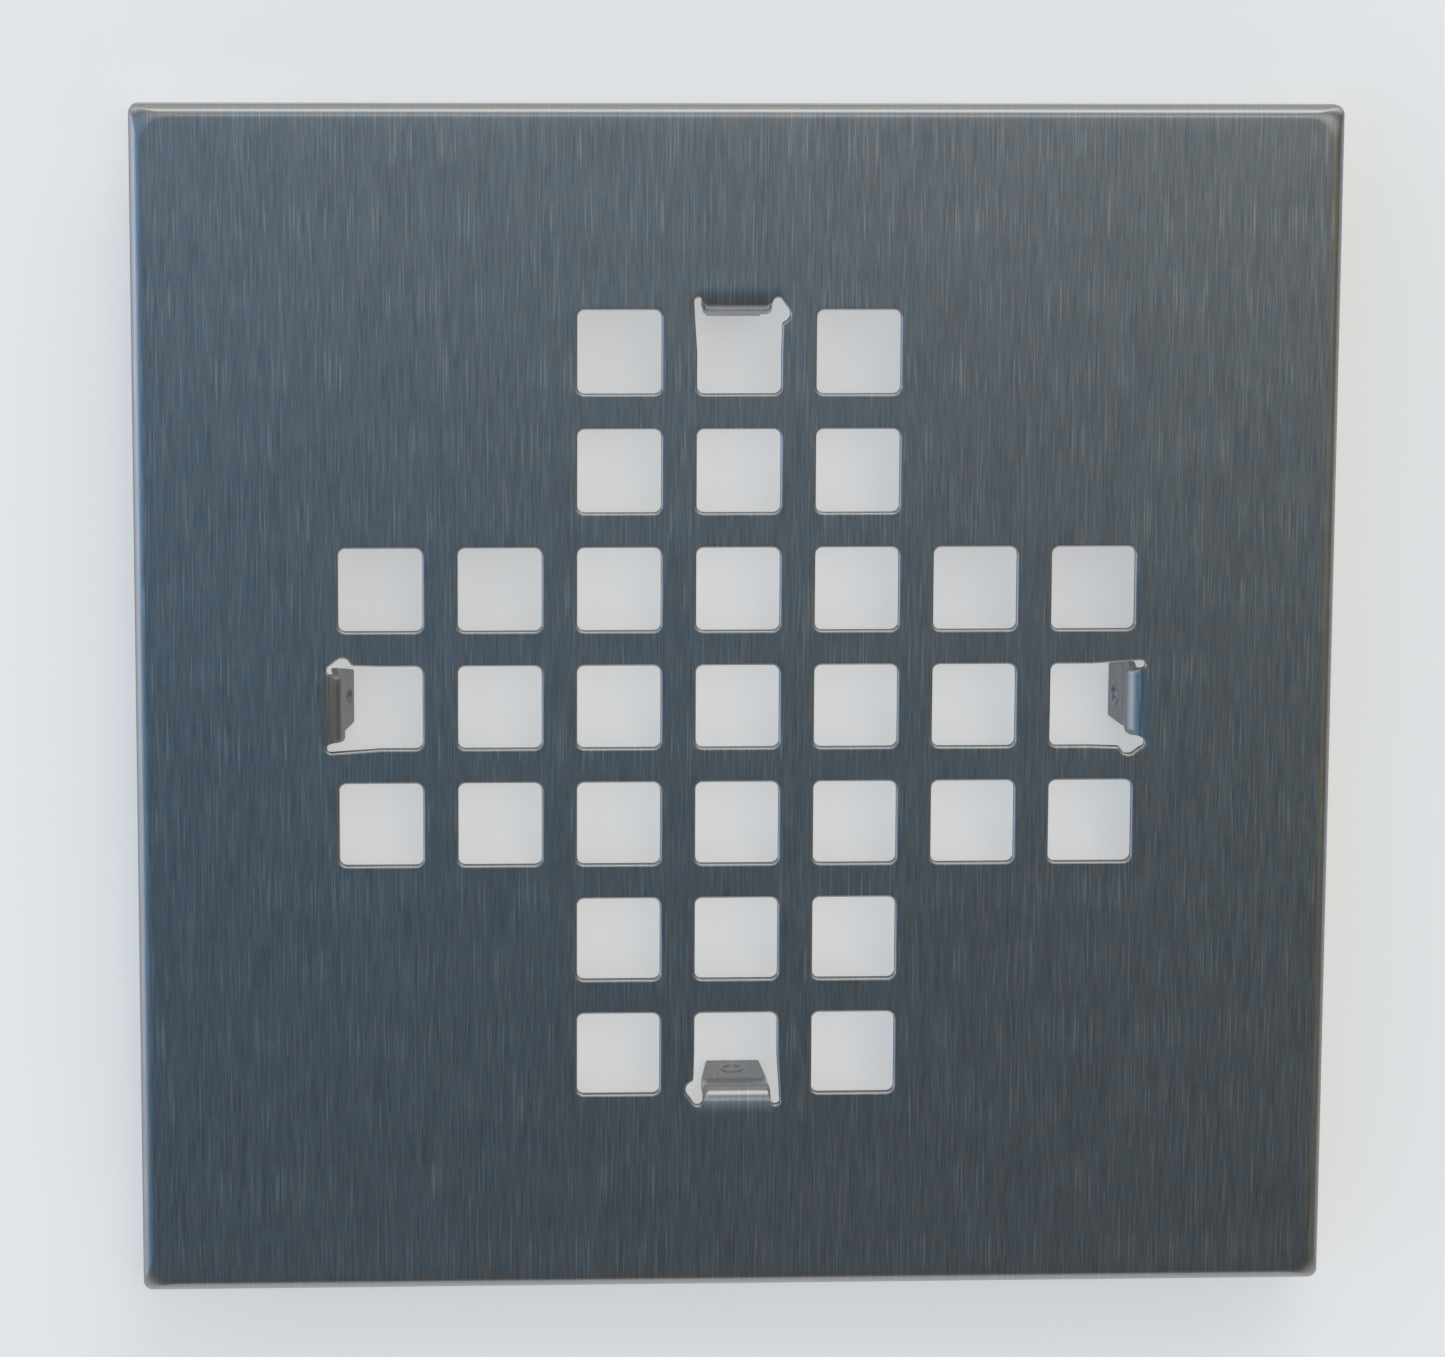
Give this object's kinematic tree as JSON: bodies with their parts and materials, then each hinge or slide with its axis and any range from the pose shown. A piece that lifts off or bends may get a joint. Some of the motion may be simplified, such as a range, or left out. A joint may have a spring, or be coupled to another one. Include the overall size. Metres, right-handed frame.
{
  "type": "floor drain grate",
  "caption": "Square snap-in floor drain grate with a cross of square holes, a rolled-down rim and bent legs that spring inward to grip the drain throat.",
  "frame": {"origin": "on the drain axis, in the plane of the rim's lower edge, which seats on the floor or the drain's flange", "axes": "+Z out of the visible face, up in use; +X and +Y along the square's sides, with the brush lines along Y"},
  "size_m": [0.108, 0.108, 0.0079],
  "materials": {
    "plate_steel": "brushed along Y, rim edge smooth",
    "leg_steel": "as rolled and bent"
  },
  "bodies": {
    "grate": {"face_plate": "plate_steel"},
    "leg_right": {"leg_right": "leg_steel"},
    "leg_back": {"leg_back": "leg_steel"},
    "leg_left": {"leg_left": "leg_steel"},
    "leg_front": {"leg_front": "leg_steel"}
  },
  "joints": [
    {"name": "flex_right", "type": "hinge", "parent": "grate", "child": "leg_right", "pos_m": [0.0366, 0, 0.003], "axis": [0, 1, 0], "range_deg": [0, 3], "stiffness_Nm_per_rad": 20},
    {"name": "flex_back", "type": "hinge", "parent": "grate", "child": "leg_back", "pos_m": [0, 0.0366, 0.003], "axis": [-1, 0, 0], "range_deg": [0, 3], "stiffness_Nm_per_rad": 20},
    {"name": "flex_left", "type": "hinge", "parent": "grate", "child": "leg_left", "pos_m": [-0.0366, 0, 0.003], "axis": [0, -1, 0], "range_deg": [0, 3], "stiffness_Nm_per_rad": 20},
    {"name": "flex_front", "type": "hinge", "parent": "grate", "child": "leg_front", "pos_m": [0, -0.0366, 0.003], "axis": [1, 0, 0], "range_deg": [0, 3], "stiffness_Nm_per_rad": 20}
  ]
}
